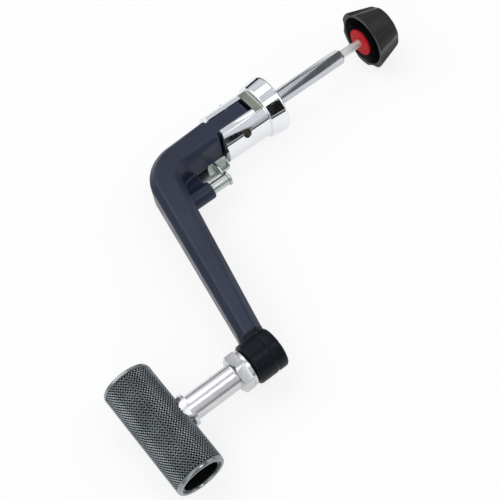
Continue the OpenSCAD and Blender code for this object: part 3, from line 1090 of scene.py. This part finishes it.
@dataclass
class LockSlide(SubAssembly):
    """The stamped plate, its thumb lever bent square to the shaft, and the rod riveted to the lever."""

    sheet: float = 0.9 * MM
    rounding: float = 0.2 * MM
    plate_low: Pair = (-38.3 * MM, -9.0 * MM)
    plate_high: Pair = (-25.8 * MM, 3.0 * MM)
    plate_corner: float = 1.6 * MM
    plate_z: float = -5.85 * MM
    slot_low: Pair = (-33.65 * MM, -1.45 * MM)
    slot_high: Pair = (-26.75 * MM, 1.45 * MM)
    slot_corner: float = 1.44 * MM
    flange_low: Pair = (-33.6 * MM, -6.3 * MM)
    flange_high: Pair = (-25.8 * MM, -2.4 * MM)
    flange_corner: float = 0.8 * MM
    flange_y: float = -5.55 * MM
    lever_x: float = -30.95 * MM
    foot_drop: float = 1.0 * MM
    bend_reach: float = 3.6 * MM
    bend_rise: float = 1.4 * MM
    bend_dip: float = 1.9 * MM
    rod_y: float = -14.0 * MM
    rod_z: float = -3.0 * MM
    rod_edge: float = 0.15 * MM
    head: float = 2.60 * MM
    root: float = 1.35 * MM
    waist: float = 1.30 * MM

    def build(self) -> None:
        """Makes the plate, its flange, the lever and the rod."""
        plate = (rounded(self.plate_low, self.plate_high, self.plate_corner),
                 rounded(self.slot_low, self.slot_high, self.slot_corner))
        flange = (rounded(self.flange_low, self.flange_high, self.flange_corner),)
        level = Matrix.Translation((0.0, 0.0, self.plate_z))
        upright = Matrix(((1, 0, 0, 0), (0, 0, -1, self.flange_y), (0, 1, 0, 0), (0, 0, 0, 1)))
        across = Matrix(((0, 0, 1, self.lever_x), (1, 0, 0, 0), (0, 1, 0, 0), (0, 0, 0, 1)))
        for name, outlines, place, nodes in (
                ("lock_plate_stamped", plate, level, ("lock_plate",)),
                ("lock_flange", flange, upright, ()),
                ("lock_lever", (self._lever(),), across, ())):
            piece = stamped(name, outlines, self.sheet, self.rounding, place)
            self.add(piece, Body.LOCK, ZINC, "zinc", *nodes)
        rod = softened("lock_rod", "lock_rod_turned", self.rod_edge, 2)
        self.add(rod, Body.LOCK, ZINC, "zinc", "lock_rod")

    def _lever(self) -> list[Pair]:
        """Gives the lever's outline: an S from the flange to the round head.

        Returns:
            The outline's points, as places along Y and Z.
        """
        knots = [Vector(knot) for knot in (
            (self.flange_y, self.rod_z - self.foot_drop),
            (self.flange_y - self.bend_reach, self.rod_z + self.bend_rise),
            (self.rod_y + self.bend_reach, self.rod_z - self.bend_dip),
            (self.rod_y, self.rod_z))]
        steps = 24
        head_steps = 32
        sides: tuple[list, list] = ([], [])
        for step in range(steps + 1):
            t = step / steps
            weights = ((1 - t) ** 3, 3 * t * (1 - t) ** 2, 3 * t * t * (1 - t), t ** 3)
            middle = sum((w * k for w, k in zip(weights, knots)), Vector((0.0, 0.0)))
            run = (3 * (1 - t) ** 2 * (knots[1] - knots[0]) + 6 * t * (1 - t) * (knots[2] - knots[1])
                   + 3 * t * t * (knots[3] - knots[2])).normalized()
            half = self.root + (self.waist - self.root) * min(1.0, 2.5 * t)
            if middle.x > self.rod_y + self.head:
                sides[0].append((middle.x + run.y * half, middle.y - run.x * half))
                sides[1].append((middle.x - run.y * half, middle.y + run.x * half))
        gap = math.asin(self.waist / self.head)
        arc = [gap + (2 * math.pi - 2 * gap) * k / head_steps for k in range(head_steps + 1)]
        head = [(self.rod_y + self.head * math.cos(a), self.rod_z + self.head * math.sin(a)) for a in arc]
        return sides[0] + head + sides[1][::-1]


@dataclass
class Knob(SubAssembly):
    """The spinning cross grip on its aluminium neck.

    The rim's points are insets in millimetres: the outer ones from the tube's radius and end, the inner ones
    from its bore and end.
    """

    radius: float = 8.5 * MM
    bore: float = 7.0 * MM
    half: float = 19.5 * MM
    ring: float = 1.2 * MM
    rim_outer: tuple[Pair, ...] = ((0.10, 1.08), (0.12, 0.60), (0.22, 0.30), (0.50, 0.06), (0.72, 0.0))
    rim_inner: tuple[Pair, ...] = ((0.35, 0.0), (0.10, 0.10), (0.0, 0.40))
    starts: int = 48
    rows: int = 32
    steps: int = 7
    depth: float = 0.42 * MM
    turn: float = math.radians(8.0)

    def build(self) -> None:
        """Makes the neck and the knurled grip."""
        low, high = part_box("grip_core")
        centre = [(a + b) / 2 for a, b in zip(low, high)]
        neck = cad_copy("neck_sleeve", "neck_turned")
        shade(neck, 20.0)
        turned(neck, (centre[1], centre[2]))
        self.add(neck, Body.KNOB, ALUMINIUM, "satin_aluminium", "neck_sleeve")
        self.add(self._tube(Matrix.Translation(centre)), Body.KNOB, GUNMETAL, "gunmetal", "grip_tube")
        self.keep(GLOSS, "grip_liner_left", "grip_liner_right")
        self.keep(BLACK, "grip_core")
        self.keep(BRASS, "bush_inner", "bush_outer")

    def _tube(self, centre: Matrix) -> Object:
        """Turns the tube and presses the knurl into it.

        Args:
            centre: the shift to the middle of the grip.

        Returns:
            The tube's piece.
        """
        band = self.half - self.ring
        count = self.steps * self.rows
        skin = [(self.radius, -band + 2 * band * j / count) for j in range(count + 1)]
        end = [(self.radius - u * MM, self.half - v * MM) for u, v in self.rim_outer]
        end += [(self.bore + u * MM, self.half - v * MM) for u, v in self.rim_inner]
        profile = skin + end + [(r, -y) for r, y in reversed(end)]
        piece = lathe_y("grip_knurled", profile, self.steps * self.starts)
        knurl_recipe().run(piece, Radius=self.radius, Band=band, Starts=float(self.starts),
                           Rows=float(self.rows), Depth=self.depth, Material=self.wardrobe.get(GUNMETAL))
        piece.data.transform(centre @ Matrix.Rotation(self.turn, 4, "X"))
        shade(piece, 24.0)
        return piece


@dataclass
class ScrewCap(SubAssembly):
    """The black screw cap, its thin red disc on a black post, and its brass insert."""

    cap_edge: float = 0.22 * MM
    disc: float = 0.8 * MM
    gap: float = 0.02 * MM
    post_step: float = 0.35 * MM
    bore: float = 1.6 * MM
    rounding: float = 0.18 * MM

    def build(self) -> None:
        """Makes the cap, the disc and the post."""
        cap = softened("cap_shell", "cap_moulded", self.cap_edge, 3)
        self.add(cap, Body.CAP, BLACK, "black_plastic", "cap_shell")
        low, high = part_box("cap_collar")
        face, radius = low[0], high[1]
        edge = face + self.disc
        disc = self._ring("collar_red", face, edge, radius)
        self.add(disc, Body.COLLAR, RED, "red_plastic", "cap_collar")
        post = self._ring("collar_post", edge + self.gap, high[0], radius - self.post_step)
        self.add(post, Body.COLLAR, BLACK, "black_plastic")
        self.keep(BRASS, "cap_insert")

    def _ring(self, name: str, start: float, end: float, radius: float) -> Object:
        """Turns a ring round the X axis with rounded rims.

        Args:
            name: the piece's name.
            start: its near end along X.
            end: its far end along X.
            radius: its outer radius.

        Returns:
            The turned ring.
        """
        soft = self.rounding
        corner = [(1 - math.cos(math.pi / 8 * k), 1 - math.sin(math.pi / 8 * k)) for k in range(5)]
        near = [(radius - soft * u, start + soft * v) for u, v in reversed(corner)]
        far = [(radius - soft * u, end - soft * v) for u, v in corner]
        piece = lathe_y(name, [(self.bore, start)] + near + far + [(self.bore, end)], 64)
        piece.data.transform(Matrix.Rotation(-math.pi / 2, 4, "Z"))
        shade(piece, 30.0)
        return piece


# -------- studio


@dataclass(frozen=True)
class Lamp:
    """A square soft light, with its side in metres and its power in watts."""

    name: str
    place: Point
    size: float
    power: float

    def hang(self, target: Point) -> None:
        """Hangs the light, facing a point.

        Args:
            target: the point.
        """
        data = bpy.data.lights.new(self.name, "AREA")
        data.shape = "SQUARE"
        data.size = self.size
        data.energy = self.power
        light = link(self.name, data)
        light.location = self.place
        light.rotation_mode = "QUATERNION"
        light.rotation_quaternion = (Vector(target) - Vector(self.place)).to_track_quat("-Z", "Y")


@dataclass(frozen=True)
class Card:
    """A dark rectangle that only reflections see, upright or level, given by opposite corners."""

    name: str
    low: Point
    high: Point
    tone: float = 0.01
    on_floor: bool = False

    def stand(self, ground: float) -> None:
        """Places the card.

        Args:
            ground: the floor's height, from which a card on the floor is measured.
        """
        (x0, y0, z0), (x1, y1, z1) = self.low, self.high
        lift = ground if self.on_floor else 0.0
        corners = [(x0, y0, z0 + lift), (x1, y0, z0 + lift), (x1, y1, z1 + lift), (x0, y1, z1 + lift)]
        mesh = bpy.data.meshes.new(self.name)
        mesh.from_pydata(corners, [], [(0, 1, 2, 3)])
        card = link(self.name, mesh)
        made = bpy.data.materials.new(self.name)
        made.use_nodes = True
        Graph(made.node_tree).feed(made.node_tree.nodes["Principled BSDF"], {
            "Base Color": (self.tone, self.tone, self.tone, 1.0), "Roughness": 0.9,
            "Specular IOR Level": 0.0})
        mesh.materials.append(made)
        card.visible_camera = False
        card.visible_diffuse = False
        card.visible_shadow = False
        card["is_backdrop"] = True


@dataclass
class Studio:
    """The floor, the lights, the world and the camera."""

    eye: Point = (-0.15629, -0.25655, 0.34868)
    ahead: Point = (0.26454, 0.50125, -0.82388)
    above: Point = (0.55906, 0.61640, 0.55453)
    lens: float = 93.6
    sensor: float = 36.0
    floor_drop: float = 0.3 * MM
    floor_half: float = 3.0
    aim: Point = (-0.03, -0.04, 0.0)
    lamps: tuple[Lamp, ...] = (
        Lamp("key_softbox", (-0.25, 0.30, 0.60), 0.80, 2.3),
        Lamp("front_softbox", (-0.45, -0.45, 0.40), 0.60, 0.9),
        Lamp("side_softbox", (0.50, -0.30, 0.40), 0.60, 0.8),
        Lamp("boss_glint", (0.07, -0.29, 0.55), 0.12, 0.30))
    cards: tuple[Card, ...] = (
        Card("horizon_front", (-0.20, -0.22, 0.0), (0.20, -0.22, 0.020), on_floor=True),
        Card("bell_card_left", (0.014, -0.21, 0.03), (0.0355, -0.21, 0.27)),
        Card("bell_card_right", (0.0385, -0.21, 0.03), (0.055, -0.21, 0.27)),
        Card("horizon_back", (-0.10, 0.30, 0.0), (0.30, 0.30, 0.070), on_floor=True),
        Card("shaft_card", (0.05, 0.07, 0.5 * MM), (0.25, 0.30, 0.5 * MM), on_floor=True),
        Card("shaft_shade", (0.20, -0.42, 0.5), (0.48, -0.04, 0.5), tone=0.16))

    def build(self) -> None:
        """Makes the whole studio."""
        low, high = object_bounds()
        ground = low[2] - self.floor_drop
        self._camera()
        self._floor(ground, (low + high) / 2)
        self._world()
        for lamp in self.lamps:
            lamp.hang(self.aim)
        for card in self.cards:
            card.stand(ground)

    def _camera(self) -> None:
        """Places the camera."""
        data = bpy.data.cameras.new("camera")
        data.lens = self.lens
        data.sensor_width = self.sensor
        data.clip_start, data.clip_end = 0.01, 20.0
        back = -Vector(self.ahead).normalized()
        right = Vector(self.above).cross(back).normalized()
        turn = Matrix((right, back.cross(right), back)).transposed().to_4x4()
        camera = link("camera", data)
        camera.matrix_world = Matrix.Translation(Vector(self.eye)) @ turn
        bpy.context.scene.camera = camera

    @staticmethod
    def _rays(g: Graph) -> tuple[NodeSocket, NodeSocket]:
        """Tells the camera's own rays from reflected ones.

        Args:
            g: the graph to build in.

        Returns:
            The sockets that are 1 for a camera or transmission ray, and for a glossy ray.
        """
        path = g.add("ShaderNodeLightPath").outputs
        return g.math("MAXIMUM", path["Is Camera Ray"], path["Is Transmission Ray"]), path["Is Glossy Ray"]

    def _floor(self, height: float, middle: Vector) -> None:
        """Lays the pale floor.

        Args:
            height: its height.
            middle: the model's middle, under which it is centred.
        """
        work = bmesh.new()
        bmesh.ops.create_grid(work, x_segments=1, y_segments=1, size=self.floor_half)
        bmesh.ops.translate(work, verts=work.verts, vec=(middle.x, middle.y, height))
        floor = link("floor", baked(work, bpy.data.meshes.new("floor")))
        made = bpy.data.materials.new("pale_floor")
        g = emptied(made)
        lit = g.add("ShaderNodeBsdfDiffuse", {"Color": (0.95, 0.95, 0.95, 1.0)})
        bright = g.add("ShaderNodeEmission", {"Color": (1.0, 1.0, 1.0, 1.0), "Strength": 1.0})
        seen, glossy = self._rays(g)
        part = g.math("ADD", g.math("MULTIPLY", seen, 0.80), g.math("MULTIPLY", glossy, 0.5))
        both = g.add("ShaderNodeMixShader", {0: part, 1: lit.outputs[0], 2: bright.outputs[0]})
        g.add("ShaderNodeOutputMaterial", {"Surface": both.outputs[0]})
        floor.data.materials.append(made)
        floor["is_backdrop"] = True

    def _world(self) -> None:
        """Sets a white surround that reflections see as a soft grey tent."""
        world = bpy.data.worlds.new("surround")
        g = emptied(world)
        seen, glossy = self._rays(g)
        white = g.add("ShaderNodeBackground", {"Color": (1.0, 1.0, 1.0, 1.0), "Strength": 1.0})
        ray = g.add("ShaderNodeTexCoord").outputs["Generated"]
        height = g.add("ShaderNodeSeparateXYZ", {0: ray}).outputs[2]
        tent = g.add("ShaderNodeBackground", {"Color": g.ramp(height, (
            (0.0, (0.25, 0.25, 0.26)), (0.18, (0.45, 0.46, 0.48)), (0.45, (0.72, 0.74, 0.77)),
            (0.80, (0.66, 0.68, 0.71))))})
        fill = g.add("ShaderNodeBackground", {"Color": (0.95, 0.97, 1.0, 1.0), "Strength": 0.55})
        first = g.add("ShaderNodeMixShader", {0: glossy, 1: fill.outputs[0], 2: tent.outputs[0]})
        both = g.add("ShaderNodeMixShader", {0: seen, 1: first.outputs[0], 2: white.outputs[0]})
        g.add("ShaderNodeOutputWorld", {"Surface": both.outputs[0]})
        bpy.context.scene.world = world


def main() -> None:
    """Builds the studio and every sub-assembly."""
    logging.basicConfig(level=logging.INFO, format="%(name)s %(message)s")
    bpy.context.scene.view_settings.view_transform = "Standard"
    Studio().build()
    wardrobe = Wardrobe()
    for kind in (YokeAndShaft, CrankArm, LockSlide, Knob, ScrewCap):
        LOG.info("building %s", kind.__name__)
        kind(wardrobe).build()


if __name__ == "__main__":
    main()
